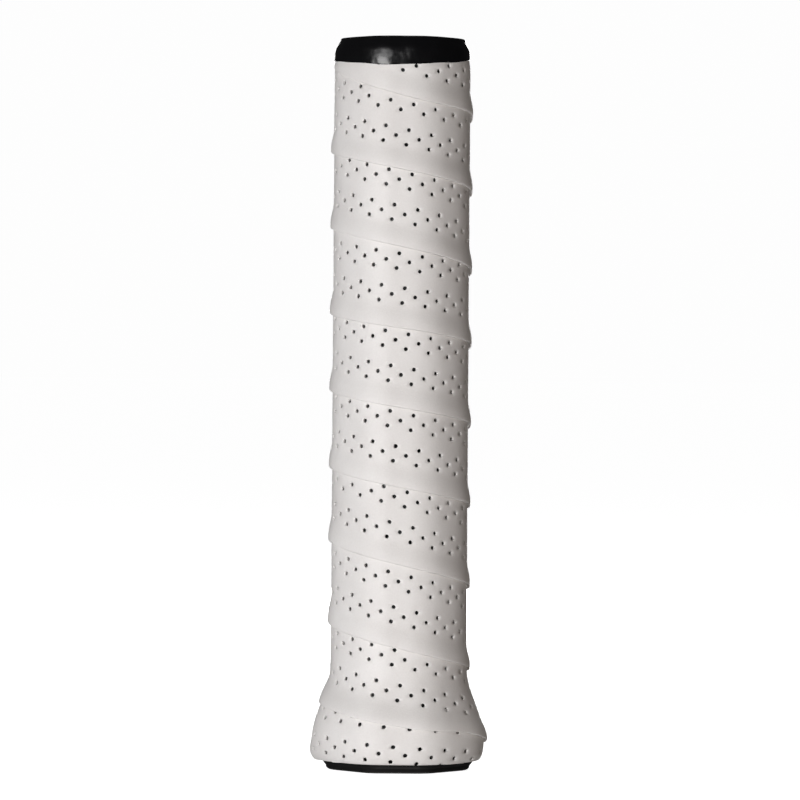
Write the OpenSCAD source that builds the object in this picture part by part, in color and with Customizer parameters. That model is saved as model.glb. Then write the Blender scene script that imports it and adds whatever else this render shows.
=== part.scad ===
// Butt end of a tennis racket handle, wound with a base grip and a perforated overgrip.
// Origin: centre of the butt's flat bottom. +Z runs up the handle. -Y is the front, +X the right.
// Every layer follows the same rounded octagon, so a layer is given by its height above the core.

/* [Handle] */
// Height of the handle end, from the butt's bottom to the cut
handle_h = 187.5; // [180:0.5:195]
// Half width of the bare handle across two flats
core_half = 14.9; // [14:0.1:16]
// Corner radius of the bare handle
core_corner = 5; // [4:0.5:7]
// Height at which the flare of the butt begins
flare_top = 26; // [24:0.5:28]
// Height of the widest place of the flare
flare_wide_z = 7.4; // [7:0.2:9]
// How far the flare stands out from the straight handle
flare_out = 4.55; // [4:0.05:5]

/* [Butt cap] */
// Wall of the cap's skirt
cap_wall = 1.4; // [1.2:0.1:1.8]
// Thickness of the cap's floor
cap_floor = 2.4; // [2:0.1:3]
// Radius of the bottom rim's rounding
rim_round = 1.2; // [0.8:0.1:1.4]
// Half width of the cap's flat bottom
bottom_half = 17.3; // [16.8:0.1:17.6]

/* [Trap door] */
// Length of the door's plate along X
door_len = 17; // [15:0.5:19]
// Width of the door's plate along Y
door_wid = 12; // [10:0.5:13]
// Thickness of the door's plate
door_thick = 1.2; // [1:0.1:1.4]
// Length of the door's two legs
door_leg = 6; // [5:0.5:7]
// Gap all round the door
door_gap = 0.15; // [0.1:0.05:0.2]

/* [Frame tubes] */
// Outer width of one tube along X
tube_wid = 9.5; // [9:0.1:9.8]
// Outer depth of one tube along Y
tube_deep = 16; // [14:0.5:17]
// Wall of a tube
tube_wall = 1.6; // [1.2:0.1:2]
// Distance from the axis to the near side of a tube
tube_in = 2.2; // [1.8:0.1:2.4]
// Height of the tubes' lower ends
tube_foot = 16; // [14:1:24]

/* [Base grip] */
// Thickness of the base grip
base_thick = 1.6; // [1.4:0.1:2]
// Height of the strip along the handle
base_wide = 27; // [26:0.5:29]
// Rise of one turn of the base grip
base_pitch = 25.2; // [25:0.1:25.3]

/* [Overgrip] */
// Thickness of the overgrip
over_thick = 0.8; // [0.6:0.05:0.9]
// Width of the overgrip measured along the handle
over_wide = 25.4; // [25:0.1:26]
// Height of the overgrip's lower edge round the butt
over_low = 2; // [1.8:0.1:2.4]
// Height of the overgrip's cut upper edge
over_high = 184.2; // [184:0.1:184.3]

/* [Finishing tape] */
// Thickness of the finishing tape
vinyl_thick = 0.15; // [0.12:0.01:0.18]
// Mean height of its lower edge
vinyl_low = 181; // [180.5:0.1:181.5]
// Number of turns
vinyl_turns = 1.25; // [1.2:0.05:1.4]

/* [Hidden] */
facets = 24;                     // points of the octagon's outline, three to each rounded corner
corner_turn = 7.5;               // turn between two points of a corner
bond = 0.05;                     // bond line between two layers
flare_ease = 0.15;               // extra gap under each strip in the flare
lift_ramp = 1.3;                 // height over which a turn comes down off the turn below it
lift_seat = 0.1;                 // first part of that height, where the turn still lies level
ridge_share = [0.2, 0.6];        // a turn's ridge stays between these shares of its width
foot_share = [0.05, 0.8];        // its foot this far above the ridge, and no higher than this
base_in = bond;
base_out = base_in + base_thick;
over_in = base_out + 0.1;
over_out = over_in + over_thick;
skirt_heights = [for (i = [0 : 9]) flare_wide_z + (flare_top - flare_wide_z) * i / 9];
edge_curl_z = 4.5;               // below this height the tapes curl in towards the rim
edge_curl = 0.8;                 // how far they have curled in, edge_curl_run lower down
edge_curl_run = 2.5;
ease_above = 4;                  // the extra gap ends this far above the flare
ease_run = 3;                    // height over which it opens
flare_rounding = 0.4;            // how much rounder the corners grow as the flare stands out
base_low = 4.2;
base_high = 185.3;
base_bevel = 1.2;                // how far above the overgrip the base grip's lower edge thins
base_skive = 2;                  // width of the slanted edges of the base grip
base_start = -24;                // height of the base grip's lower edge at its tapered start
top_narrow_z = 184.3;            // above this height the finishing tape draws in
top_narrow = 1.75;
band_front_drop = 1.2;           // how much lower its lower edge lies at the front
band_lap_rise = 0.5;             // how much higher its second turn begins
wire = 0.7;                      // side of the staples' square wire
tab_heights = [4.8, 6, 7.2];     // rows of the start tab's points
tab_layer = [0.02, 0.08];        // its two faces, measured from the base grip
over_start_low = 9;              // the first turn has nothing below it down to this far under the rim
// Lower edge of the overgrip at each half turn, from the start below the rim to the top: the right
// side and the left side in turn. Hand winding makes the rise a little uneven.
edge_z = [-22.5, -13, -2.5, 6.8, 17.7, 25.5, 38, 46.7, 59.2, 67.5, 78, 88.2, 97.7, 108.8, 117.3,
    127.9, 139.4, 148.2, 158.7, 167.6, 177.4, 188];
first_half_turn = -3;
over_first = -36;                // sections of the overgrip, counted from the right side at the butt
over_last = 204;
base_first = 3;
base_last = 196;
covered_turn = [14.4, 15.1];     // here the last turn but one ends below the finishing tape
covered_high = 178.2;

// Degrees wound clockwise from the right side at section g: the three points of each rounded corner
function wound(g) = 45 * floor(g / 3) + corner_turn * (g - 3 * floor(g / 3)) + 15;

// Radius at azimuth a of an octagon with this half width and corner radius
function octagon_r(a, half, corner) =
    let (from_flat = abs(a - 45 * round(a / 45)), c = (half - corner) / cos(22.5))
    from_flat < atan((half - corner) * tan(22.5) / half)
        ? half / cos(from_flat)
        : c * cos(22.5 - from_flat) + sqrt(pow(corner, 2) - pow(c * sin(22.5 - from_flat), 2));

// Half width of the bare handle and cap at height z: the rim's rounding, the bowl up to the widest
// place, the flare, and the straight handle
function core_r(z) =
    let (rim = bottom_half + rim_round,
        up = (z - rim_round) / (flare_wide_z - rim_round),
        down = (z - flare_wide_z) / (flare_top - flare_wide_z))
    z < rim_round ? bottom_half + sqrt(max(0, pow(rim_round, 2) - pow(rim_round - z, 2)))
    : z < flare_wide_z ? rim + (core_half + flare_out - rim) * sin(90 * up)
    : z < flare_top ? core_half + flare_out * (1 + cos(180 * down)) / 2
    : core_half;

// Corner radius at height z, rounder in the flare
function corner_r(z) = core_corner + flare_rounding * (core_r(z) - core_half);

// A point of a layer that lies out above the core, at azimuth a and height z
function on_layer(a, z, out) =
    let (r = octagon_r(a, core_r(z) + out, corner_r(z) + out)) [r * cos(a), r * sin(a), z];

// How far a layer of height out is drawn in near the rim
function curl(z, out) =
    out - (z < edge_curl_z ? edge_curl * pow((edge_curl_z - z) / edge_curl_run, 2) : 0);

// Extra gap under a strip where the handle flares
function ease(z) = flare_ease * max(0, min(1, (flare_top + ease_above - z) / ease_run));

// Smooth curve through the list v at the place s, counted in list steps
function smooth_at(v, s) =
    let (n = len(v) - 1, i = max(0, min(n - 1, floor(s))), t = s - i,
        a = v[max(0, i - 1)], b = v[i], c = v[i + 1], d = v[min(n, i + 2)])
    b + 0.5 * t * (c - a + t * (2 * a - 5 * b + 4 * c - d + t * (3 * (b - c) + d - a)));

// Heights of the lower edges after u half turns
function over_edge(u) = smooth_at(edge_z, u - first_half_turn);
function over_top(u) =
    min(over_edge(u) + over_wide, u > covered_turn[0] && u < covered_turn[1] ? covered_high : over_high);
function base_edge(u) = base_start + base_pitch * u / 2;

// Faces of a strip of k sections, each with p outer points and then p inner points
function quad(a, b, c, d) = [[a, b, c], [a, c, d]];
function strip_faces(k, p) =
    let (m = 2 * p)
    [for (s = [0 : k - 2], i = [0 : m - 1])
        let (j = (i < p - 1) ? i + 1 : (i == p - 1) ? m - 1 : (i == p) ? 0 : i - 1)
        each quad(s * m + i, (s + 1) * m + i, (s + 1) * m + j, s * m + j),
    for (i = [0 : p - 2])
        each quad(i, i + 1, p + i + 1, p + i),
    for (i = [0 : p - 2])
        each quad((k - 1) * m + i, (k - 1) * m + p + i, (k - 1) * m + p + i + 1, (k - 1) * m + i + 1)];

// A closed loft of rings, bottom first, each with the same number of points
function loft_faces(rings, n) =
    [[for (i = [0 : n - 1]) i],
    [for (i = [0 : n - 1]) rings * n - 1 - i],
    for (s = [0 : rings - 2], i = [0 : n - 1])
        each quad(s * n + i, (s + 1) * n + i, (s + 1) * n + (i + 1) % n, s * n + (i + 1) % n)];

// A solid of rings round the handle, each given as its height and how far out it lies
module ring_solid(rings) {
    points = [for (ring = rings, i = [0 : facets - 1]) on_layer(wound(i), ring[0], ring[1])];
    polyhedron(points, loft_faces(len(rings), facets));
}

module rounded_bar(w, d, r, h) {
    linear_extrude(h) union() {
        square([w - 2 * r, d], center = true);
        square([w, d - 2 * r], center = true);
        for (x = [-1, 1], y = [-1, 1])
            translate([x * (w / 2 - r), y * (d / 2 - r)])
                circle(r, $fn = 32);
    }
}

// One leg of the hairpin frame, on the side given by side
module frame_tube(side) {
    color([0.12, 0.12, 0.13])
    translate([side * (tube_in + tube_wid / 2), 0, tube_foot])
        difference() {
            rounded_bar(tube_wid, tube_deep, 3.5, handle_h - tube_foot);
            translate([0, 0, -1])
                rounded_bar(tube_wid - 2 * tube_wall, tube_deep - 2 * tube_wall, 3.5 - tube_wall,
                    handle_h - tube_foot + 2);
        }
}

// Foam body: stepped in where the cap's skirt covers it, hollow below for the door's legs
module foam_pallet() {
    pocket_h = cap_floor + door_leg + 2;
    color([0.75, 0.72, 0.62])
    difference() {
        union() {
            ring_solid([for (z = concat([cap_floor + bond, 5], skirt_heights, [flare_top + 1]))
                [z, -cap_wall - bond]]);
            ring_solid([for (z = [flare_top + bond, handle_h]) [z, 0]]);
        }
        for (side = [-1, 1])
            translate([side * (tube_in + tube_wid / 2), 0, tube_foot - bond])
                rounded_bar(tube_wid + 2 * bond, tube_deep + 2 * bond, 3.5, handle_h);
        translate([0, 0, -1])
            rounded_bar(door_len, door_wid, 1, pocket_h);
    }
}

// Cup of the butt with a recess and an opening for the door
module butt_cap() {
    rim_heights = [0, 0.1 * rim_round, 0.4 * rim_round, rim_round, 3, 5];
    last = len(skirt_heights) - 1;
    color([0.05, 0.05, 0.055])
    difference() {
        ring_solid(concat(
            [for (z = concat(rim_heights, skirt_heights)) [z, 0]],
            [for (i = [0 : last]) [skirt_heights[last - i], -cap_wall]],
            [[5, -cap_wall], [cap_floor, -cap_wall]]));
        translate([0, 0, -1])
            rounded_bar(door_len + 2 * door_gap, door_wid + 2 * door_gap, 1, 1 + door_thick + bond);
        translate([0, 0, door_thick / 2])
            rounded_bar(door_len - 3, door_wid - 3, 0.8, cap_floor);
    }
}

// Door plate with a pry notch and two legs that grip the opening
module trap_door() {
    leg_wid = door_wid - 4.5;
    leg_thick = 1.2;
    leg_x = (door_len - 3) / 2 - door_gap - leg_thick / 2;
    color([0.07, 0.07, 0.075]) {
        difference() {
            rounded_bar(door_len, door_wid, 0.9, door_thick);
            translate([0, -door_wid / 2, 0])
                cube([5, 1.6, 1.2], center = true);
        }
        for (side = [-1, 1])
            translate([side * leg_x, 0, door_thick + door_leg / 2 - 0.1])
                cube([leg_thick, leg_wid, door_leg + 0.2], center = true);
    }
}

// A wire staple whose crown lies across the front of the face at azimuth a
module staple(a, z, crown_r, crown, leg) {
    rotate([0, 0, a])
        translate([crown_r, 0, z]) {
            translate([-wire / 2, 0, 0])
                cube([wire, crown, wire], center = true);
            for (side = [-1, 1])
                translate([-leg / 2, side * (crown - wire) / 2, 0])
                    cube([leg, wire, wire], center = true);
        }
}

module cap_staples() {
    staple_z = 22;
    color([0.75, 0.75, 0.77])
        for (a = [-90, 90])
            staple(a, staple_z, core_r(staple_z) - bond, 8, 5);
}

// Base grip: wound edge to edge, with slanted edges that lie on each other
module base_grip() {
    rows = 8;
    points = [for (g = [base_first : base_last])
        let (a = -wound(g), lower = base_edge(wound(g) / 180))
        each concat(
            [for (i = [0 : rows - 1])
                let (lo = max(lower, base_low), hi = min(lower + base_wide - base_skive, base_high),
                    z = lo + (hi - lo) * i / (rows - 1))
                on_layer(a, z, min(base_out, curl(z - base_bevel, over_in) - bond))],
            [for (i = [0 : rows - 1])
                let (lo = max(lower + base_skive, base_low), hi = min(lower + base_wide, base_high),
                    z = lo + (hi - lo) * i / (rows - 1))
                on_layer(a, z, base_in + ease(z))])];
    color([0.07, 0.07, 0.07])
        polyhedron(points, strip_faces(base_last - base_first + 1, rows));
}

// Staple through the tapered start of the base grip
module base_grip_staple() {
    staple_z = 6.5;
    color([0.75, 0.75, 0.77])
        staple(180, staple_z, core_r(staple_z) + base_out - 2 * bond, 6, 4.5);
}

// Adhesive tab under the first length of the overgrip
module start_tab() {
    sections = 7;
    rows = len(tab_heights);
    points = [for (g = [over_first + 6 : over_first + 5 + sections])
        let (a = -wound(g))
        each concat(
            [for (z = tab_heights) on_layer(a, z, base_out + tab_layer[1])],
            [for (z = tab_heights) on_layer(a, z, base_out + tab_layer[0])])];
    color([0.85, 0.83, 0.75])
        polyhedron(points, strip_faces(sections, rows));
}

// How high a turn of the overgrip lies off the base grip where the turn below it ends at under
function lap_lift(z, under) =
    (over_thick + bond) * max(0, min(1, (under + lift_ramp - z) / (lift_ramp - lift_seat)));

// Overgrip: each turn lies on the upper edge of the turn below it
module overgrip() {
    rows = 8;
    points = [for (g = [over_first : over_last])
        let (a = -wound(g),
            u = wound(g) / 180,
            lo = max(over_edge(u), over_low),
            hi = over_top(u),
            wide = hi - lo,
            under = u - 2 < first_half_turn ? over_low - over_start_low : over_top(u - 2),
            ridge = min(max(under + lift_seat, lo + ridge_share[0] * wide), lo + ridge_share[1] * wide),
            foot = min(max(under + lift_ramp, ridge + foot_share[0] * wide), lo + foot_share[1] * wide),
            upper = [for (i = [1 : rows - 3]) foot + (hi - foot) * i / (rows - 3)],
            heights = concat([lo, ridge, foot], upper),
            raised = [for (z = heights) ease(z) + lap_lift(z, under)])
        each concat(
            [for (i = [0 : rows - 1]) on_layer(a, heights[i], curl(heights[i], over_out) + raised[i])],
            [for (i = [0 : rows - 1]) on_layer(a, heights[i], curl(heights[i], over_in) + raised[i])])];
    color([0.93, 0.92, 0.89])
        polyhedron(points, strip_faces(over_last - over_first + 1, rows));
}

// Finishing tape: a level band whose second turn lies on its first
module finishing_tape() {
    rows = 4;
    sections = floor(vinyl_turns * facets) + 1;
    points = [for (s = [0 : sections - 1])
        let (a = 135 - wound(s),
            second = max(0, min(1, (s - facets + 2) / 2)),
            low = vinyl_low - band_front_drop * cos(a + 90) + band_lap_rise * second,
            heights = [low, (low + top_narrow_z) / 2, top_narrow_z, handle_h],
            outs = [for (z = heights) over_out + bond + second * (vinyl_thick + bond)
                - (z > top_narrow_z ? top_narrow : 0)])
        each concat(
            [for (i = [0 : rows - 1]) on_layer(a, heights[i], outs[i] + vinyl_thick)],
            [for (i = [0 : rows - 1]) on_layer(a, heights[i], outs[i])])];
    color([0.04, 0.04, 0.045])
        polyhedron(points, strip_faces(sections, rows));
}

frame_tube(-1);  // shaft_tube_left
frame_tube(1);  // shaft_tube_right
foam_pallet();
butt_cap();
trap_door();
cap_staples();
base_grip();
base_grip_staple();
start_tab();
overgrip();
finishing_tape();
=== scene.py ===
"""Looks for the wound racket handle: tape, cap, foam, tubes, floor, lights and camera.

Lengths are in millimetres up to mm_mesh(), which makes metres. The frame is the CAD's: origin in the
middle of the butt's flat bottom, +Z up the handle, -Y the front, +X the right.
"""
import math

import bmesh
import bpy
import numpy as np
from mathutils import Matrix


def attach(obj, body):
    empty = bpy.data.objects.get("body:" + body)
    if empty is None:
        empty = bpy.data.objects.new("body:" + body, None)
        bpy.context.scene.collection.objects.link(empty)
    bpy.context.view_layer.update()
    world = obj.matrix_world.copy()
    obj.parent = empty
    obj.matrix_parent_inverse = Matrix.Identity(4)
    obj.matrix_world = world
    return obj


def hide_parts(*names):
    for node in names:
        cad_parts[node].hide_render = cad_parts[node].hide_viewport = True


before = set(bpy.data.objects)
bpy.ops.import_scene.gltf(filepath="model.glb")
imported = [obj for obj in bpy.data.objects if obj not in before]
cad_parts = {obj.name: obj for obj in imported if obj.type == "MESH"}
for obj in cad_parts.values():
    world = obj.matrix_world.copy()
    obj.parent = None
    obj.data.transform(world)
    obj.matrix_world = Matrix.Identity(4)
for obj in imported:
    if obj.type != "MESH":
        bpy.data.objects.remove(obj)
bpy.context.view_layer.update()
PI = math.pi

# ---- The handle's shape -------------------------------------------------------------------------------
#
# The sizes are the CAD's, but for the two ends of the overgrip, which lie as on a hand-wound handle, and
# for the softer corners of the tapes.

HANDLE_H = 187.5
CORE_HALF, CORE_CORNER = 14.9, 5.0
FLARE_TOP, FLARE_WIDE_Z, FLARE_OUT = 26.0, 7.4, 4.55
RIM_ROUND, BOTTOM_HALF = 1.2, 17.3
CAP_WALL, CAP_FLOOR = 1.4, 2.4
DOOR_LEN, DOOR_WID, DOOR_THICK, DOOR_GAP, DOOR_LEG = 17.0, 12.0, 1.2, 0.15, 6.0
DOOR_REST = 3             # the opening behind the door is this much smaller, which leaves a ledge
TUBE_WID, TUBE_DEEP, TUBE_CORNER, TUBE_IN, TUBE_FOOT = 9.5, 16.0, 3.5, 2.2, 16.0
BOND = 0.05               # glue line between two layers
BASE_IN, BASE_OUT = 0.05, 1.65
BASE_WIDE, BASE_SKIVE, BASE_PITCH, BASE_START = 27.0, 2.0, 25.2, -24.0
BASE_LOW, BASE_HIGH = 4.2, 185.3
BASE_TURNED = 60, 2947.6                       # degrees wound, where the base grip starts and ends
OVER_IN, OVER_OUT = 1.75, 2.55
OVER_LOW, OVER_HIGH = 2.45, 184.2    # the wound strip is cut level at these heights
OVER_WIDE = 25.4          # measured along the handle
FLARE_EASE = 0.15         # the tapes lie this much looser over the flare
# Lower edge of the overgrip at each half turn, right side and left side in turn, from three half
# turns before the butt's right side
EDGE_Z = [-14.1, -6.1, -0.5, 6.8, 17.7, 25.5, 38, 46.7, 59.2, 67.5, 78, 88.2, 97.7, 108.8, 117.3, 127.9,
          139.4, 148.2, 158.7, 167.6, 180.8, 208]
FIRST_HALF_TURN, LAST_HALF_TURN = -3.0, 18
SAG_U, SAG_RUN, SAG = 16.4, 0.22, 1.0          # the strip sags here before it climbs under the band
STRAY_U, STRAY_RUN, STRAY = 0.22, 0.15, 1.2    # and here its edge alone is drawn up
# The tapes round off the octagon: more corner radius, and diagonal flats blended towards a circle
SOFT_FROM, SOFT_RUN, SOFT_CORNER = 0.1, 1.5, 4.8
DIAGONAL_ROUND, DIAGONAL_CROWN, DIAGONAL_REACH = 0.45, 0.45, math.radians(36)
CURL_TOP, CURL_RUN, CURL_IN = 4.5, 2.5, 0.8    # the tapes are drawn in below this height, near the rim


def smooth(t):
    """Eased step from 0 to 1."""
    t = np.clip(t, 0, 1)
    return t * t * (3 - 2 * t)


def core_r(z):
    """Half width of the bare handle and cap at height z."""
    z = np.asarray(z, float)
    rim = BOTTOM_HALF + np.sqrt(np.maximum(0, RIM_ROUND ** 2 - (RIM_ROUND - z) ** 2))
    up = (z - RIM_ROUND) / (FLARE_WIDE_Z - RIM_ROUND)
    wide = CORE_HALF + FLARE_OUT
    bowl = BOTTOM_HALF + RIM_ROUND + (wide - BOTTOM_HALF - RIM_ROUND) * np.sin(PI / 2 * up)
    down = (z - FLARE_WIDE_Z) / (FLARE_TOP - FLARE_WIDE_Z)
    flare = CORE_HALF + FLARE_OUT * (1 + np.cos(PI * down)) / 2
    return np.where(z < RIM_ROUND, rim,
                    np.where(z < FLARE_WIDE_Z, bowl, np.where(z < FLARE_TOP, flare, CORE_HALF)))


def octagon_r(a, half, corner):
    """Radius at azimuth a of an octagon with this half width and corner radius."""
    off = np.abs(a - PI / 4 * np.round(a / (PI / 4)))
    c = (half - corner) / math.cos(PI / 8)
    arc = c * np.cos(PI / 8 - off) + np.sqrt(np.maximum(0, corner ** 2 - (c * np.sin(PI / 8 - off)) ** 2))
    return np.where(off < np.arctan((half - corner) * math.tan(PI / 8) / half), half / np.cos(off), arc)


def on_layer(a, z, out):
    """Points of a layer that lies out above the core."""
    core = core_r(z)
    soft = np.clip((out - SOFT_FROM) / SOFT_RUN, 0, 1)
    r = octagon_r(a, core + out, CORE_CORNER + 0.4 * (core - CORE_HALF) + out + SOFT_CORNER * soft)
    off = np.abs((a / (PI / 2)) % 1 - 0.5) * PI / 2
    rounder = DIAGONAL_ROUND * smooth(1 - off / DIAGONAL_REACH) * soft
    r = r + rounder * (core + out + DIAGONAL_CROWN - r)
    return np.stack([r * np.cos(a), r * np.sin(a), z + 0 * r], -1)


def curl(z):
    """How far a tape is drawn in near the rim."""
    return -np.where(z < CURL_TOP, CURL_IN * (np.clip(CURL_TOP - z, 0, 3) / CURL_RUN) ** 2, 0)


def ease(z):
    """How much looser the tapes lie at height z."""
    return FLARE_EASE * np.clip((FLARE_TOP + 4 - z) / 3, 0, 1)


def smooth_at(values, s):
    """Smooth curve through the list, at places counted in list steps."""
    v = np.asarray(values, float)
    n = len(v) - 1
    i = np.clip(np.floor(s).astype(int), 0, n - 1)
    t = s - i
    a, b, c, d = v[np.maximum(0, i - 1)], v[i], v[i + 1], v[np.minimum(n, i + 2)]
    return b + 0.5 * t * (c - a + t * (2 * a - 5 * b + 4 * c - d + t * (3 * (b - c) + d - a)))


def stray(u):
    """How far the lower edge alone is drawn up after u half turns."""
    return STRAY * np.exp(-((u - STRAY_U) / STRAY_RUN) ** 2)


def over_edge(u):
    """Height of the overgrip's lower edge after u half turns."""
    u = np.asarray(u, float)
    sag = SAG * np.exp(-((u - SAG_U) / SAG_RUN) ** 2)
    return smooth_at(EDGE_Z, u - FIRST_HALF_TURN) + stray(u) - sag


def next_edge(u):
    """Height of the lower edge of the turn that lies on this one."""
    return over_edge(np.minimum(u + 2, LAST_HALF_TURN))


# ---- Meshes -----------------------------------------------------------------------------------------

def mm_mesh(name, points, faces, smooth_faces=True):
    """A mesh object from points in millimetres."""
    mesh = bpy.data.meshes.new(name)
    mesh.from_pydata((np.asarray(points, float) / 1000).tolist(), [], [list(map(int, f)) for f in faces])
    mesh.update()
    if smooth_faces:
        mesh.shade_smooth()
    obj = bpy.data.objects.new(name, mesh)
    bpy.context.scene.collection.objects.link(obj)
    return obj


def outward(obj):
    """Turns a closed mesh's faces outward."""
    bm = bmesh.new()
    bm.from_mesh(obj.data)
    bmesh.ops.recalc_face_normals(bm, faces=bm.faces)
    bm.to_mesh(obj.data)
    bm.free()


def loft_faces(sections, points):
    """Faces of a loft of sections, each a closed ring of the same number of points."""
    s, i = np.meshgrid(np.arange(sections - 1), np.arange(points), indexing="ij")
    a = (s * points + i).ravel()
    b = (s * points + (i + 1) % points).ravel()
    faces = np.stack([a, b, b + points, a + points], -1).tolist()
    faces.append(list(range(points - 1, -1, -1)))
    faces.append([(sections - 1) * points + i for i in range(points)])
    return faces


def loft(name, rings):
    """A closed loft: rings has the shape sections, points, 3."""
    obj = mm_mesh(name, rings.reshape(-1, 3), loft_faces(rings.shape[0], rings.shape[1]))
    outward(obj)
    return obj


def apply_modifiers(obj):
    """Makes the modified mesh the object's own."""
    bpy.context.view_layer.update()
    made = bpy.data.meshes.new_from_object(obj.evaluated_get(bpy.context.evaluated_depsgraph_get()))
    obj.modifiers.clear()
    obj.data = made


def boolean(obj, other, operation, solver="EXACT"):
    """Cuts obj with other, and removes other."""
    mod = obj.modifiers.new("cut", "BOOLEAN")
    mod.operation = operation
    mod.solver = solver
    mod.object = other
    apply_modifiers(obj)
    bpy.data.objects.remove(other)
    return obj


def rounded_bar(name, w, d, r, low, high, x=0.0):
    """An upright bar with rounded corners, for cutting."""
    steps = np.linspace(0, PI / 2, 13)
    ring = []
    for q, (sx, sy) in enumerate([(1, 1), (-1, 1), (-1, -1), (1, -1)]):
        for t in steps + q * PI / 2:
            ring.append((x + sx * (w / 2 - r) + r * math.cos(t), sy * (d / 2 - r) + r * math.sin(t)))
    ring = np.array(ring)
    rings = np.stack([np.c_[ring, np.full(len(ring), z)] for z in (low, high)])
    return loft(name, rings)


# ---- Overgrip: a strip with two bands of punched holes, wound on the handle -----------------------------

TAPE_WIDE = 25.0          # true width of the strip
TAPE_SLOPE = math.acos(TAPE_WIDE / OVER_WIDE)
HOLE_PITCH = 3.08         # along the strip; every other place in a row is punched
ROW_PITCH = 1.89
BANDS = (5.405, 13.925)   # where the two bands of three rows begin
HOLE_R, HOLE_RIM = 0.5, 0.57                   # the punched wall, and the outer end of its rounded rim
HOLE_POINTS = 12
CELLS = 3                 # a hole takes the place of CELLS by CELLS faces of the strip
TAPE_THICK = OVER_OUT - OVER_IN
AIR = 0.03                # between a turn and the one that lies on it
THINNEST = 0.05           # share of its thickness that a turn keeps where the next one presses it
LAP = 5.6                 # the most that a turn reaches up under the next one
# Near its two ends the strip is narrower, and what is too wide is gathered into this much at its top
TIP, TIP_START_U, TIP_END_RUN = 2.0, 1, 4
TURN_LIFT = TAPE_THICK + 0.04
# A turn rides up on the one below. The share LIFT_STEP of it lasts up to LIFT_FLAT from the edge and is
# gone LIFT_RUN further up; the rest fades along LIFT_TAIL
LIFT_STEP, LIFT_FLAT, LIFT_RUN, LIFT_TAIL = 0.88, 1.2, 5.0, 5
LIFT_FROM_U, LIFT_FROM_RUN = -1.15, 0.15       # the first turn lies on the base grip alone
TIGHT_U, TIGHT_RUN, TIGHT = 16.3, 0.6, 0.8     # the last length is drawn tight
SQUEEZE = 0.17            # share of their height that the layers lose under the finishing tape
SQUEEZE_Z, SQUEEZE_RUN = 179.5, 4
FLAT_Z, FLAT_RUN = 178, 4                      # the strip's waviness ends under the finishing tape
TAPE_END_U = 17.4         # here the strip has climbed out of sight under the finishing tape
RIM_EDGE, RIM_EDGE_IN = 0.55, 0.3              # height and depth of the rounding at the cut lower edge
# How far the holes have crept along the strip at the front of each turn: hand winding stretches the
# strip unevenly
CREEP = [-31, 0.4, -0.4, -2.2, -4.7, -3.7, -5.9, -7.0, -7.8, -9.0, -11.7, -3.5]


def arc_lengths():
    """Half turns, and the length wound onto the handle up to each, from the butt's right side."""
    u = np.linspace(-3.4, 18.3, 8700)
    z = np.maximum(over_edge(np.clip(u, FIRST_HALF_TURN, LAST_HALF_TURN)) + TAPE_WIDE / 2, 2.0)
    mid = (z[1:] + z[:-1]) / 2
    before = on_layer(-PI * u[:-1], mid, OVER_OUT)
    after = on_layer(-PI * u[1:], mid, OVER_OUT)
    x = np.concatenate([[0], np.cumsum(np.linalg.norm(after - before, axis=1))])
    return u, x - np.interp(0.0, u, x)


ARC_U, ARC_X = arc_lengths()


def over_top(u):
    """Height of its upper edge, which is narrower where the turns lie closer, near the two ends."""
    return np.minimum(over_edge(u) + OVER_WIDE, next_edge(u) + LAP)


def lift(u, z):
    """How far a turn rides up on the turn below it: all of it at its lower edge, less above."""
    x = z - np.maximum(over_edge(u), OVER_LOW)
    share = LIFT_STEP * (1 - smooth((x - LIFT_FLAT) / LIFT_RUN))
    share += (1 - LIFT_STEP) * np.exp(-np.maximum(x, 0) / LIFT_TAIL)
    begun = smooth((u - LIFT_FROM_U) / LIFT_FROM_RUN)
    return TURN_LIFT * share * begun * (1 - TIGHT * smooth((u - TIGHT_U) / TIGHT_RUN))


def pressed(u, z):
    """Share of its thickness that a turn keeps under the edge of the next turn."""
    covered = (u + 2 < TAPE_END_U + 0.02) & (z > np.maximum(next_edge(u), OVER_LOW))
    room = (lift(u + 2, z) - AIR) / TAPE_THICK
    return np.where(covered, np.clip(room, THINNEST, 1), 1.0)


def squeeze(z, out):
    """The finishing tape presses all the layers together."""
    return np.where(out > 0, out * (1 - SQUEEZE * smooth((z - SQUEEZE_Z) / SQUEEZE_RUN)), out)


def on_tape(tau, w, depth):
    """The place of the strip's point tau along, w across, depth from 0 on its inner face to 1."""
    tau, w, depth = np.broadcast_arrays(tau, w, depth)
    along = tau
    for _ in range(3):        # the creep depends on the place that it leads to
        turn = (np.interp(along * math.cos(TAPE_SLOPE), ARC_X, ARC_U) - 0.5) / 2
        along = tau + smooth_at(CREEP, turn + 2)
    u = np.interp(along * math.cos(TAPE_SLOPE) - w * math.sin(TAPE_SLOPE), ARC_X, ARC_U)
    z = over_edge(u) - stray(u) * smooth(w / 5) + w / math.cos(TAPE_SLOPE)
    tip = over_top(u) - TIP
    near_end = (u < TIP_START_U) | (u > TAPE_END_U - TIP_END_RUN)
    gathered = tip + TIP * (z - tip) / np.maximum(over_edge(u) + OVER_WIDE - tip, TIP)
    z = np.where((z > tip) & near_end, gathered, z)
    wave = 0.035 * np.sin(along / 6.1 + 1.3 * np.sin(w / 7)) + 0.025 * np.sin(along / 2.9 - w / 3.1)
    out = OVER_IN + TAPE_THICK * depth * pressed(u, z) + curl(z) + ease(z) + lift(u, z)
    out += wave * smooth((FLAT_Z - z) / FLAT_RUN) * depth
    return on_layer(-PI * u, np.maximum(z, -30), squeeze(z, out)), u, z


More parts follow.
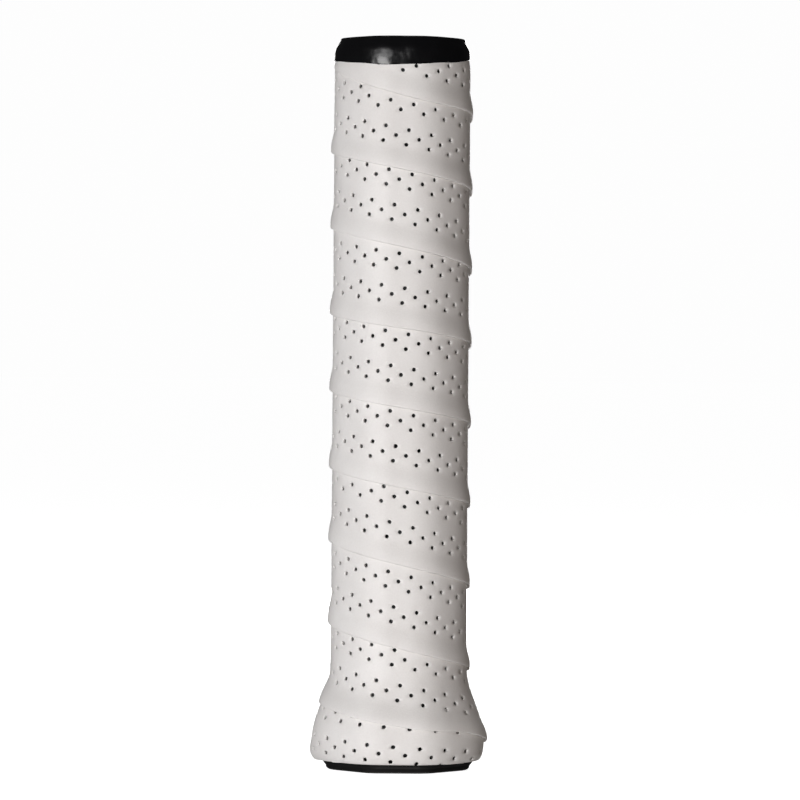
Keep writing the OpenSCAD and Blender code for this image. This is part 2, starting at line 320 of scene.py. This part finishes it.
def tape_lines():
    """Lines along the strip: (w, depth) on the outer face and on the inner face, and the first line of each
    of the two bands of holes on either."""
    edge = [(0.0, 0.5), (0.03, 0.72), (0.11, 0.88), (0.25, 0.97), (0.5, 1.0), (1.4, 1.0)]
    lower = [2.3, 3.3, 4.2, 4.8]
    near, far = [[start + ROW_PITCH / CELLS * i for i in range(3 * CELLS + 1)] for start in BANDS]
    upper = [20.6, 21.8, 23.2, 24.4]
    outer = edge + [(w, 1.0) for w in lower + near + [12.0, 13.0] + far + upper]
    outer.append((TAPE_WIDE, 0.6))
    inner_w = [0.0, 1.4, 2.8, 4.2] + near + far + [23.2, TAPE_WIDE]
    inner = [(w, 0.0) for w in inner_w]
    outer_band = [outer.index((band[0], 1.0)) for band in (near, far)]
    inner_band = [inner_w.index(band[0]) for band in (near, far)]
    return outer, inner, outer_band, inner_band


def row_middle(row):
    """Where a row of holes lies across the strip."""
    band, r = divmod(row, 3)
    return BANDS[band] + ROW_PITCH * (r + 0.5)


def hole_places(start, stop, row):
    """Numbers of the punched places in a row, without those that lie hidden or are cut by a seam."""
    places = np.arange(start, stop)
    which = places[(places + row) % 2 == 0]
    _, u, z = on_tape(HOLE_PITCH * which, row_middle(row), 1.0)
    above_seam = z - next_edge(u)
    under_first_turn = (u < 1) & (above_seam > 2)
    cut_by_seam = (u > 0) & (abs(above_seam - 0.15) < 0.6)
    too_low = (z < OVER_LOW - 1.5) | (u < FIRST_HALF_TURN + 0.1)
    too_high = (u > TAPE_END_U - 0.03) | (z > OVER_HIGH - 0.8)
    return which[~(under_first_turn | cut_by_seam | too_low | too_high)]


def build_overgrip():
    """The strip as one closed mesh, with a lined hole at every punched place."""
    outer, inner, outer_band, inner_band = tape_lines()
    first, last = np.interp((FIRST_HALF_TURN, TAPE_END_U), ARC_U, ARC_X) / math.cos(TAPE_SLOPE)
    first -= smooth_at(CREEP, np.array((FIRST_HALF_TURN - 0.5) / 2 + 2))
    last -= CREEP[-2]
    start = math.ceil(first / HOLE_PITCH) + 1
    stop = math.ceil(last / HOLE_PITCH) + 3
    columns = HOLE_PITCH * (start - 0.5) + HOLE_PITCH / CELLS * np.arange(CELLS * (stop - start) + 1)
    n_out, n_in = len(outer), len(inner)
    w_out, d_out = np.array(outer).T
    w_in, d_in = np.array(inner).T
    grid_out, _, _ = on_tape(columns[:, None], w_out[None], d_out[None])
    grid_in, _, _ = on_tape(columns[:, None], w_in[None], d_in[None])
    points = [grid_out.reshape(-1, 3), grid_in.reshape(-1, 3)]
    base_in = len(columns) * n_out
    count = base_in + len(columns) * n_in

    def node_out(c, j):
        return c * n_out + j

    def node_in(c, j):
        return base_in + c * n_in + j

    faces = []
    punched = np.zeros((len(columns) - 1, n_out - 1), bool)
    punched_in = np.zeros((len(columns) - 1, n_in - 1), bool)
    angle = np.radians(15 + 30 * np.arange(HOLE_POINTS))
    # The faces' corners round a hole, in the order of its own points
    border = [(3, 2), (3, 3), (2, 3), (1, 3), (0, 3), (0, 2), (0, 1), (0, 0), (1, 0), (2, 0), (3, 0), (3, 1)]
    for row in range(6):
        band, r = divmod(row, 3)
        w = row_middle(row)
        j_out, j_in = outer_band[band] + CELLS * r, inner_band[band] + CELLS * r
        which = hole_places(start, stop, row)
        centre = HOLE_PITCH * which
        for radius, depth in ((HOLE_RIM, 1.0), (HOLE_R + 0.02, 0.95), (HOLE_R, 0.0)):
            p, _, _ = on_tape(centre[:, None] + radius * np.cos(angle), w + radius * np.sin(angle), depth)
            points.append(p.reshape(-1, 3))
        ring_start = count + HOLE_POINTS * len(which) * np.arange(3)
        count += 3 * HOLE_POINTS * len(which)
        for m, k in enumerate(which):
            c = CELLS * (k - start)
            punched[c:c + CELLS, j_out:j_out + CELLS] = True
            punched_in[c:c + CELLS, j_in:j_in + CELLS] = True
            loops = [[node_out(c + x, j_out + y) for x, y in border]]
            loops += [[int(f) + HOLE_POINTS * m + i for i in range(HOLE_POINTS)] for f in ring_start]
            loops.append([node_in(c + x, j_in + y) for x, y in border])
            for i in range(HOLE_POINTS):
                n = (i + 1) % HOLE_POINTS
                faces += [(a[i], a[n], b[n], b[i]) for a, b in zip(loops, loops[1:])]
    top_out, top_in = n_out - 1, n_in - 1
    for c in range(len(columns) - 1):
        d = c + 1
        for j in range(top_out):
            if not punched[c, j]:
                faces.append((node_out(c, j), node_out(d, j), node_out(d, j + 1), node_out(c, j + 1)))
        for j in range(top_in):
            if not punched_in[c, j]:
                faces.append((node_in(c, j), node_in(c, j + 1), node_in(d, j + 1), node_in(d, j)))
        faces.append((node_in(c, 0), node_in(d, 0), node_out(d, 0), node_out(c, 0)))
        faces.append((node_out(c, top_out), node_out(d, top_out), node_in(d, top_in), node_in(c, top_in)))
    for c in (0, len(columns) - 1):
        ring = [node_out(c, j) for j in range(n_out)] + [node_in(c, j) for j in range(n_in - 1, -1, -1)]
        faces.append(ring if c == 0 else ring[::-1])
    obj = mm_mesh("overgrip_wound", np.concatenate(points), faces)
    outward(obj)
    return obj


def trimmed(obj, low, high):
    """Cuts a wound strip level at its two ends, with a slab much wider than the handle."""
    slab = rounded_bar("slab", 120, 120, 10, low, high)
    return boolean(obj, slab, "INTERSECT", "MANIFOLD")


def round_rim(obj, low, height, depth):
    """Rounds the cut edge of a tape at the height low."""
    bm = bmesh.new()
    bm.from_mesh(obj.data)
    top = (low + height) / 1000
    for part in (0.15, 0.4, 0.75):
        near = [e for e in bm.edges if min(v.co.z for v in e.verts) < top]
        near += [f for f in bm.faces if min(v.co.z for v in f.verts) < top]
        near += [v for v in bm.verts if v.co.z < top]
        bmesh.ops.bisect_plane(bm, geom=near, dist=1e-7, plane_co=(0, 0, (low + height * part) / 1000),
                               plane_no=(0, 0, 1))
    for v in bm.verts:
        z = v.co.z * 1000
        if z < low + height:
            a = math.atan2(v.co.y, v.co.x)
            inner = float(np.linalg.norm(on_layer(a, np.array(z), OVER_IN + curl(z) + ease(z))[:2]))
            r = math.hypot(v.co.x, v.co.y) * 1000
            place = ((r - inner) / TURN_LIFT) % 1.0 - 0.5 * TAPE_THICK / TURN_LIFT
            fall = 1 - math.sqrt(max(0.0, 1 - (1 - (z - low) / height) ** 2))
            shift = -2 * depth * place * fall
            v.co.x *= (r + shift) / r
            v.co.y *= (r + shift) / r
    bm.to_mesh(obj.data)
    bm.free()


# ---- Base grip and finishing tape -------------------------------------------------------------------

def strip(name, azimuth, outer, inner):
    """A closed strip: outer and inner are (z, out) lines for each section, from the lower edge up."""
    lines = np.concatenate([outer, inner[:, ::-1]], axis=1)
    return loft(name, on_layer(azimuth[:, None], lines[..., 0], lines[..., 1]))


def build_base_grip():
    """Wound edge to edge, with slanted edges that lie on each other and a shallow valley between turns."""
    wound = np.radians(np.arange(*BASE_TURNED, 4.0))
    lower = BASE_START + BASE_PITCH * wound / PI / 2
    share = np.linspace(0, 1, 9)
    lo, hi = np.maximum(lower, BASE_LOW), np.minimum(lower + BASE_WIDE - BASE_SKIVE, BASE_HIGH)
    z = lo[:, None] + (hi - lo)[:, None] * share
    out = np.minimum(BASE_OUT, OVER_IN + curl(z - 1.2) - BOND)
    out -= 0.25 * np.maximum(0, 1 - np.minimum(z - lo[:, None], hi[:, None] - z) / 0.8) ** 2
    outer = np.stack([z, squeeze(z, out)], -1)
    lo, hi = np.maximum(lower + BASE_SKIVE, BASE_LOW), np.minimum(lower + BASE_WIDE, BASE_HIGH)
    z = lo[:, None] + (hi - lo)[:, None] * share
    inner = np.stack([z, BASE_IN + ease(z)], -1)
    return strip("base_grip_wound", -wound, outer, inner)


VINYL_THICK, VINYL_TURN = 0.15, 450.0
VINYL_START = 120.0       # azimuth where the band begins, at the back
BAND_LOW, BAND_FRONT_DROP = 182.3, 2.3         # its lower edge, which dips at the front
BAND_OUT = 2.5
BAND_TAPER_Z, BAND_TAPER = 181.8, 0.09         # it narrows steadily above this height
BAND_NECK_Z, BAND_NECK_RUN, BAND_NECK = 184.2, 3.6, 1.05    # and more where the overgrip ends under it
BAND_GRIP, BAND_GRIP_RUN = 0.13, 1.4           # its lower edge is drawn in
BAND_BULGE = 0.12                              # it lies over a fold at the left


def build_finishing_tape():
    """A band round the overgrip's upper end, whose second turn lies on its first, at the back."""
    turned = np.arange(0, VINYL_TURN + 0.1, 2.5)
    a = np.radians(VINYL_START - turned)
    second = smooth((turned - 330) / 30)
    front = np.maximum(0, -np.sin(a)) ** 1.3
    low = BAND_LOW - BAND_FRONT_DROP * front + 0.25 * np.cos(a) + 0.5 * second
    low += 0.12 * np.sin(5 * a + 1) + 0.06 * np.sin(11 * a)
    share = np.array([0, 0.02, 0.08, 0.2, 0.32, 0.42, 0.5, 0.58, 0.66, 0.74, 0.82, 0.9, 0.96, 1])
    z = low[:, None] + (HANDLE_H - low)[:, None] * share
    out = BAND_OUT - BAND_TAPER * np.maximum(0, z - BAND_TAPER_Z)
    out -= BAND_NECK * smooth((z - BAND_NECK_Z) / BAND_NECK_RUN)
    out -= BAND_GRIP * np.maximum(0, 1 - (z - low[:, None]) / BAND_GRIP_RUN) ** 2
    at_left = np.exp(-((np.abs(a) % (2 * PI) - PI) / 0.6) ** 2)[:, None]
    out += BAND_BULGE * at_left * smooth((185 - z) / 2)
    out += (VINYL_THICK + BOND) * second[:, None]
    pleats = 0.05 * np.sin(17 * a[:, None] + 1.5 * z) + 0.04 * np.sin(7 * a[:, None] - 0.9 * z)
    out += smooth((z - 183) / 2) * pleats
    edge = 0.05 * np.maximum(0, 1 - np.minimum(z - low[:, None], HANDLE_H - z) / 0.12)
    outer = np.stack([z, out + VINYL_THICK - edge], -1)
    inner = np.stack([z, out], -1)
    return strip("finishing_band", a, outer, inner)


# ---- Cap, foam and the parts that keep the CAD's shape ------------------------------------------------

AROUND = np.radians(np.arange(0, 360, 2.5))


def ring_solid(name, rings):
    """A solid of rings round the handle, each a height and how far out it lies."""
    return loft(name, np.stack([on_layer(AROUND, np.full(len(AROUND), float(z)), out) for z, out in rings]))


def build_butt_cap():
    """A cup with a flared skirt, a rounded foot with a lip that the tapes end on, and the door's opening."""
    skirt = np.linspace(FLARE_WIDE_Z, FLARE_TOP, 16)
    rim = [RIM_ROUND * (1 - math.cos(t)) for t in np.linspace(0, PI / 2, 7)]
    lip = [(1.5, 0.25), (2.0, 0.52), (2.5, 0.72), (3.0, 0.75), (3.5, 0.55), (3.9, 0.2)]
    outside = [(z, 0) for z in rim] + lip + [(z, 0) for z in [4.15, 5.2, 6.3] + list(skirt)]
    inside = [(z, -CAP_WALL) for z in list(skirt[::-1]) + [5.0, CAP_FLOOR]]
    cap = ring_solid("cap_moulding", outside + inside)
    room = 2 * DOOR_GAP
    recess = rounded_bar("recess", DOOR_LEN + room, DOOR_WID + room, 1, -1, DOOR_THICK + BOND)
    boolean(cap, recess, "DIFFERENCE")
    half = DOOR_THICK / 2
    opening = rounded_bar("opening", DOOR_LEN - DOOR_REST, DOOR_WID - DOOR_REST, 0.8, half, half + CAP_FLOOR)
    return boolean(cap, opening, "DIFFERENCE")


def build_pallet():
    """The foam body, stepped down inside the cap, with bores for the tubes and room for the door's legs."""
    skirt = list(np.linspace(FLARE_WIDE_Z, FLARE_TOP, 14))
    rings = [(z, -CAP_WALL - BOND) for z in [CAP_FLOOR + BOND, 5.0] + skirt + [FLARE_TOP + BOND]]
    rings += [(FLARE_TOP + BOND, 0), (60, 0), (120, 0), (HANDLE_H - 0.3, 0), (HANDLE_H, -0.25)]
    pallet = ring_solid("foam_body", rings)
    for side in (-1, 1):
        x = side * (TUBE_IN + TUBE_WID / 2)
        wide, deep = TUBE_WID + 2 * BOND, TUBE_DEEP + 2 * BOND
        tube = rounded_bar("tube", wide, deep, TUBE_CORNER, TUBE_FOOT - BOND, 200, x)
        boolean(pallet, tube, "DIFFERENCE")
    pocket = rounded_bar("pocket", DOOR_LEN, DOOR_WID, 1, -1, CAP_FLOOR + DOOR_LEG + 1)
    return boolean(pallet, pocket, "DIFFERENCE")


def soft_edges(obj, width, angle=35):
    """Merges a mesh's doubled points and rounds its edges that are sharper than the angle."""
    bm = bmesh.new()
    bm.from_mesh(obj.data)
    bmesh.ops.remove_doubles(bm, verts=bm.verts, dist=1e-6)
    bmesh.ops.dissolve_limit(bm, angle_limit=math.radians(1), verts=bm.verts, edges=bm.edges)
    sharp = [e for e in bm.edges if len(e.link_faces) == 2 and e.calc_face_angle(0) > math.radians(angle)]
    bmesh.ops.bevel(bm, geom=sharp, offset=width / 1000, segments=2, profile=0.6, affect="EDGES",
                    clamp_overlap=True)
    bmesh.ops.recalc_face_normals(bm, faces=bm.faces)
    bm.to_mesh(obj.data)
    bm.free()
    obj.data.shade_smooth()
    mod = obj.modifiers.new("normals", "WEIGHTED_NORMAL")
    mod.keep_sharp = True
    return obj


def from_node(node, name, width):
    """A piece with the CAD node's shape and rounded edges."""
    obj = bpy.data.objects.new(name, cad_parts[node].data.copy())
    obj.data.materials.clear()
    bpy.context.scene.collection.objects.link(obj)
    return soft_edges(obj, width)


# ---- Materials --------------------------------------------------------------------------------------

class Finish:
    """A procedural material, and short ways to add its nodes."""

    def __init__(self, name, colour, rough, **more):
        self.material = bpy.data.materials.new(name)
        self.material.use_nodes = True
        self.tree = self.material.node_tree
        self.shader = self.tree.nodes["Principled BSDF"]
        self.shader.inputs["Base Color"].default_value = (*colour, 1)
        self.shader.inputs["Roughness"].default_value = rough
        for key, value in more.items():
            self.shader.inputs[key.replace("_", " ").title().replace("Ior", "IOR")].default_value = value
        self.place = self.tree.nodes.new("ShaderNodeTexCoord").outputs["Object"]

    def node(self, kind, **settings):
        """Adds a node. A socket is linked, and a value goes to the input or setting of its name."""
        node = self.tree.nodes.new(kind)
        for key, value in settings.items():
            if isinstance(value, bpy.types.NodeSocket):
                self.tree.links.new(value, node.inputs[key.replace("_", " ")])
            elif key.replace("_", " ") in node.inputs:
                node.inputs[key.replace("_", " ")].default_value = value
            else:
                setattr(node, key, value)
        return node

    def noise(self, size_mm, detail=2.0, rough=0.5):
        """Noise whose coarsest lumps have about this size."""
        return self.node("ShaderNodeTexNoise", Vector=self.place, Scale=1000 / size_mm, Detail=detail,
                         Roughness=rough).outputs["Fac"]

    def cells(self, size_mm, feature="F1"):
        """Distance from the middle of irregular cells of about this size."""
        return self.node("ShaderNodeTexVoronoi", Vector=self.place, Scale=1000 / size_mm,
                         feature=feature).outputs["Distance"]

    def span(self, value, low, high, from_low=0.0, from_high=1.0):
        """The value, with its range mapped to low and high."""
        return self.node("ShaderNodeMapRange", Value=value, From_Min=from_low, From_Max=from_high,
                         To_Min=low, To_Max=high).outputs["Result"]

    def mix(self, factor, first, second):
        """A colour between two others."""
        node = self.tree.nodes.new("ShaderNodeMix")
        node.data_type = "RGBA"
        for socket, value in ((node.inputs[0], factor), (node.inputs[6], first), (node.inputs[7], second)):
            if isinstance(value, bpy.types.NodeSocket):
                self.tree.links.new(value, socket)
            else:
                socket.default_value = value if isinstance(value, float) else (*value, 1)
        return node.outputs[2]

    def add(self, first, second, share=1.0):
        """The first value with a share of the second added."""
        node = self.tree.nodes.new("ShaderNodeMath")
        node.operation = "MULTIPLY_ADD"
        self.tree.links.new(second, node.inputs[0])
        node.inputs[1].default_value = share
        self.tree.links.new(first, node.inputs[2])
        return node.outputs[0]

    def set(self, socket, value):
        self.tree.links.new(value, self.shader.inputs[socket])

    def bump(self, height, depth_mm, strength=1.0):
        """Gives the surface its relief, and returns the finished material."""
        node = self.node("ShaderNodeBump", Height=height, Strength=strength, Distance=depth_mm / 1000)
        self.set("Normal", node.outputs["Normal"])
        return self


def felt_finish():
    """Polyurethane skin on a felt backing; the attribute cut is 1 on punched walls and cut edges."""
    skin = Finish("overgrip_skin", (0.8, 0.78, 0.76), 0.5, specular_ior_level=0.35)
    cut = skin.node("ShaderNodeAttribute", attribute_name="cut").outputs["Fac"]
    cloud = skin.add(skin.noise(14, 3), skin.noise(0.5, 3, 0.6), 0.5)
    body = skin.mix(skin.span(cloud, 0, 1, 0.35, 1.15), (0.765, 0.741, 0.73), (0.885, 0.871, 0.863))
    fibres = skin.mix(skin.noise(0.25, 2), (0.62, 0.60, 0.58), (0.84, 0.82, 0.80))
    skin.set("Base Color", skin.mix(cut, body, fibres))
    skin.set("Roughness", skin.span(skin.add(skin.noise(0.6, 3), cut, 0.8), 0.42, 0.62))
    grain = skin.add(skin.noise(0.22, 3, 0.6), skin.cells(0.35), 0.5)
    return skin.bump(skin.add(grain, skin.noise(3.5, 2), 1.2), 0.05, 0.6)


def leather_finish():
    skin = Finish("base_grip_skin", (0.012, 0.012, 0.013), 0.55)
    skin.set("Base Color", skin.mix(skin.noise(4, 3), (0.009, 0.009, 0.01), (0.02, 0.02, 0.021)))
    skin.set("Roughness", skin.span(skin.noise(0.7), 0.45, 0.65))
    return skin.bump(skin.add(skin.cells(0.9, "SMOOTH_F1"), skin.noise(0.2, 3), 0.3), 0.08, 0.6)


def vinyl_finish():
    skin = Finish("vinyl_gloss", (0.005, 0.005, 0.006), 0.22, specular_ior_level=0.5)
    skin.set("Base Color", skin.mix(skin.noise(5, 2), (0.003, 0.003, 0.0035), (0.006, 0.006, 0.007)))
    skin.set("Roughness", skin.span(skin.noise(1.4, 3), 0.16, 0.26))
    return skin.bump(skin.add(skin.noise(6, 2), skin.noise(0.3, 2), 0.02), 0.45, 1.0)


def plastic_finish(name, shade, rough, grain_mm=0.3):
    skin = Finish(name, (shade, shade, shade * 1.05), rough, specular_ior_level=0.25)
    skin.set("Base Color", skin.mix(skin.noise(3, 3), (shade * 0.8,) * 3, (shade * 1.3,) * 3))
    skin.set("Roughness", skin.span(skin.noise(0.8, 3), rough - 0.07, rough + 0.08))
    return skin.bump(skin.add(skin.cells(grain_mm), skin.noise(grain_mm * 2, 2), 0.7), 0.03, 0.5)


def foam_finish():
    skin = Finish("foam", (0.6, 0.55, 0.43), 0.85)
    pores_and_shade = skin.cells(0.7)
    # The pores are painted darker towards their middles, which is painted shade in the pores; the same cells
    # also give the pores their relief in the bump.
    skin.set("Base Color", skin.mix(skin.span(pores_and_shade, 0, 1, 0.1, 0.6), (0.42, 0.37, 0.27), (0.68, 0.63, 0.51)))
    skin.set("Roughness", skin.span(skin.noise(1.2, 2), 0.75, 0.92))
    return skin.bump(skin.add(pores_and_shade, skin.noise(0.25, 3), 0.5), 0.25, 0.8)


def carbon_finish():
    """Wrapped laminate: crossed tows under resin."""
    skin = Finish("carbon", (0.02, 0.02, 0.022), 0.35)
    tows = skin.node("ShaderNodeTexWave", Vector=skin.place, Scale=260.0, Distortion=0.4,
                     wave_type="BANDS", bands_direction="DIAGONAL").outputs["Fac"]
    skin.set("Base Color", skin.mix(tows, (0.012, 0.012, 0.013), (0.045, 0.045, 0.048)))
    skin.set("Roughness", skin.span(skin.add(skin.noise(0.5, 2), tows, 0.5), 0.28, 0.5, 0, 1.5))
    return skin.bump(skin.add(tows, skin.noise(0.3, 2), 0.3), 0.05, 0.4)


def steel_finish():
    skin = Finish("staple_wire", (0.62, 0.62, 0.64), 0.35, metallic=1.0)
    skin.set("Roughness", skin.span(skin.noise(0.4, 3), 0.25, 0.5))
    return skin.bump(skin.noise(0.2, 3), 0.01, 0.4)


def tab_finish():
    skin = Finish("tab_paper", (0.72, 0.69, 0.6), 0.6)
    skin.set("Base Color", skin.mix(skin.noise(0.8, 3), (0.66, 0.62, 0.52), (0.78, 0.76, 0.68)))
    return skin.bump(skin.noise(0.15, 3), 0.02, 0.4)


# ---- The pieces ---------------------------------------------------------------------------------------

def finished(obj, body, finish, slot, *nodes):
    """Gives a piece its material, its body and the CAD nodes that it replaces. The argument slot is not used.
    """
    obj.data.materials.clear()
    obj.data.materials.append(finish.material)
    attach(obj, body)
    if nodes:
        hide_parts(*nodes)
    return obj


def mark_cut(obj):
    """Marks the punched walls and the cut edges, which show the felt."""
    co = np.zeros(len(obj.data.vertices) * 3)
    obj.data.vertices.foreach_get("co", co)
    normal = np.zeros(len(obj.data.vertices) * 3)
    obj.data.vertices.foreach_get("normal", normal)
    co, normal = co.reshape(-1, 3), normal.reshape(-1, 3)
    radial = co[:, :2] / np.linalg.norm(co[:, :2], axis=1)[:, None]
    facing = (normal[:, :2] * radial).sum(1)
    value = 1 - smooth((facing - 0.15) / 0.5)
    mark = obj.data.attributes.new("cut", "FLOAT", "POINT")
    mark.data.foreach_set("value", value.astype(np.float32))


over = trimmed(build_overgrip(), OVER_LOW, OVER_HIGH)
round_rim(over, OVER_LOW, RIM_EDGE, RIM_EDGE_IN)
over.data.shade_smooth()
mark_cut(over)
finished(over, "handle", felt_finish(), "overgrip_skin", "overgrip")
base = finished(build_base_grip(), "handle", leather_finish(), "base_grip_skin", "base_grip")
finished(build_finishing_tape(), "handle", vinyl_finish(), "vinyl", "finishing_tape")
cap = soft_edges(build_butt_cap(), 0.12, angle=50)
finished(cap, "handle", plastic_finish("cap_plastic", 0.008, 0.4), "cap_plastic", "butt_cap")
door = from_node("trap_door", "door_moulding", 0.15)
finished(door, "door", plastic_finish("door_plastic", 0.02, 0.5), "door_plastic", "trap_door")
finished(build_pallet(), "handle", foam_finish(), "foam", "foam_pallet")
carbon = carbon_finish()
for side in ("left", "right"):
    node = "shaft_tube_" + side
    finished(from_node(node, "carbon_leg_" + side, 0.2), "handle", carbon, "carbon", node)
steel = steel_finish()
for node, name in (("cap_staples", "cap_staple_pair"), ("base_grip_staple", "grip_staple")):
    finished(from_node(node, name, 0.12), "handle", steel, "staple_wire", node)
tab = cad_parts["start_tab"]
tab.data.materials.clear()
tab.data.materials.append(tab_finish().material)


# ---- Floor, lights and camera -------------------------------------------------------------------------

def area_light(name, azimuth, distance, wide, tall, height, watts, colour):
    """A soft panel that faces the handle. Azimuth 0 is the front, 90 the right."""
    lamp = bpy.data.lights.new(name, "AREA")
    lamp.shape = "RECTANGLE"
    lamp.size, lamp.size_y = wide, tall
    lamp.energy = watts
    lamp.color = colour
    obj = bpy.data.objects.new(name, lamp)
    a = math.radians(azimuth)
    obj.location = (distance * math.sin(a), -distance * math.cos(a), height)
    obj.rotation_euler = (PI / 2, 0, a)
    obj.visible_camera = False
    bpy.context.scene.collection.objects.link(obj)
    return obj


area_light("key", -28, 0.9, 0.45, 0.5, 0.0, 7.05, (1.0, 0.99, 0.985))
# Seen only in glossy reflections, for the highlight on the finishing tape
gloss_card = area_light("gloss_card", -28, 0.9, 0.7, 0.15, 0.36, 1.6, (1.0, 1.0, 1.0))
gloss_card.visible_diffuse = False
side_fill = area_light("side_fill", -95, 0.9, 0.45, 0.6, 0.1, 0.72, (1.0, 0.98, 0.96))
warm_fill = area_light("warm_fill", 38, 0.9, 0.45, 0.6, 0.0, 1.65, (1.0, 0.9, 0.82))
side_fill.visible_glossy = warm_fill.visible_glossy = False
# Light for the back, and from above and below for the two ends
area_light("back_key", 178, 0.9, 0.4, 0.5, 0.1, 5.5, (1.0, 0.99, 0.98))
for name, height, tilt, watts in (("top_fill", 1.1, 0, 2.0), ("low_fill", -0.8, PI, 1.5)):
    fill = area_light(name, 180, 0.28, 0.5, 0.5, height, watts, (1.0, 0.99, 0.98))
    fill.rotation_euler = (tilt, 0, 0)

FLOOR_X, FLOOR_NEAR, FLOOR_FAR, FLOOR_Z = 9000, -3000, 60000, -0.05
FLOOR_GLOW, BACKDROP, AMBIENT = 0.97, 0.985, 0.02      # the glow hides the line where floor meets backdrop
corners = [(-FLOOR_X, FLOOR_NEAR), (FLOOR_X, FLOOR_NEAR), (FLOOR_X, FLOOR_FAR), (-FLOOR_X, FLOOR_FAR)]
floor = mm_mesh("floor", [(x, y, FLOOR_Z) for x, y in corners], [(0, 1, 2, 3)], False)
paper = Finish("floor_paper", (0.86, 0.86, 0.86), 0.8)
paper.shader.inputs["Emission Color"].default_value = (1, 1, 1, 1)
paper.shader.inputs["Emission Strength"].default_value = FLOOR_GLOW
# The floor is see-through from below, so that the butt and its door can be looked at
below = paper.tree.nodes.new("ShaderNodeNewGeometry").outputs["Backfacing"]
clear = paper.tree.nodes.new("ShaderNodeBsdfTransparent").outputs[0]
one_sided = paper.tree.nodes.new("ShaderNodeMixShader")
paper.tree.links.new(below, one_sided.inputs[0])
paper.tree.links.new(paper.shader.outputs[0], one_sided.inputs[1])
paper.tree.links.new(clear, one_sided.inputs[2])
paper.tree.links.new(one_sided.outputs[0], paper.tree.nodes["Material Output"].inputs["Surface"])
floor.data.materials.append(paper.material)
floor.visible_diffuse = False
floor.visible_glossy = False
floor.visible_shadow = False

world = bpy.data.worlds.new("studio")
world.use_nodes = True
bpy.context.scene.world = world
tree = world.node_tree
ambient = tree.nodes["Background"]
ambient.inputs["Color"].default_value = (1, 1, 1, 1)
ambient.inputs["Strength"].default_value = AMBIENT
backdrop = tree.nodes.new("ShaderNodeBackground")
backdrop.inputs["Color"].default_value = (BACKDROP, BACKDROP, BACKDROP, 1)
path = tree.nodes.new("ShaderNodeLightPath")
both = tree.nodes.new("ShaderNodeMixShader")
tree.links.new(path.outputs["Is Camera Ray"], both.inputs[0])
tree.links.new(ambient.outputs[0], both.inputs[1])
tree.links.new(backdrop.outputs[0], both.inputs[2])
tree.links.new(both.outputs[0], tree.nodes["World Output"].inputs["Surface"])

camera = bpy.data.objects.new("camera", bpy.data.cameras.new("camera"))
bpy.context.scene.collection.objects.link(camera)
camera.location = (0, -1.08, 0.1016)
camera.rotation_euler = (PI / 2, math.radians(-0.42), 0)
camera.data.lens = 188.4
camera.data.sensor_width = 36
camera.data.shift_x = -0.0006
camera.data.shift_y = -0.03318
camera.data.clip_end = 100
bpy.context.scene.camera = camera
bpy.context.scene.view_settings.view_transform = "Standard"
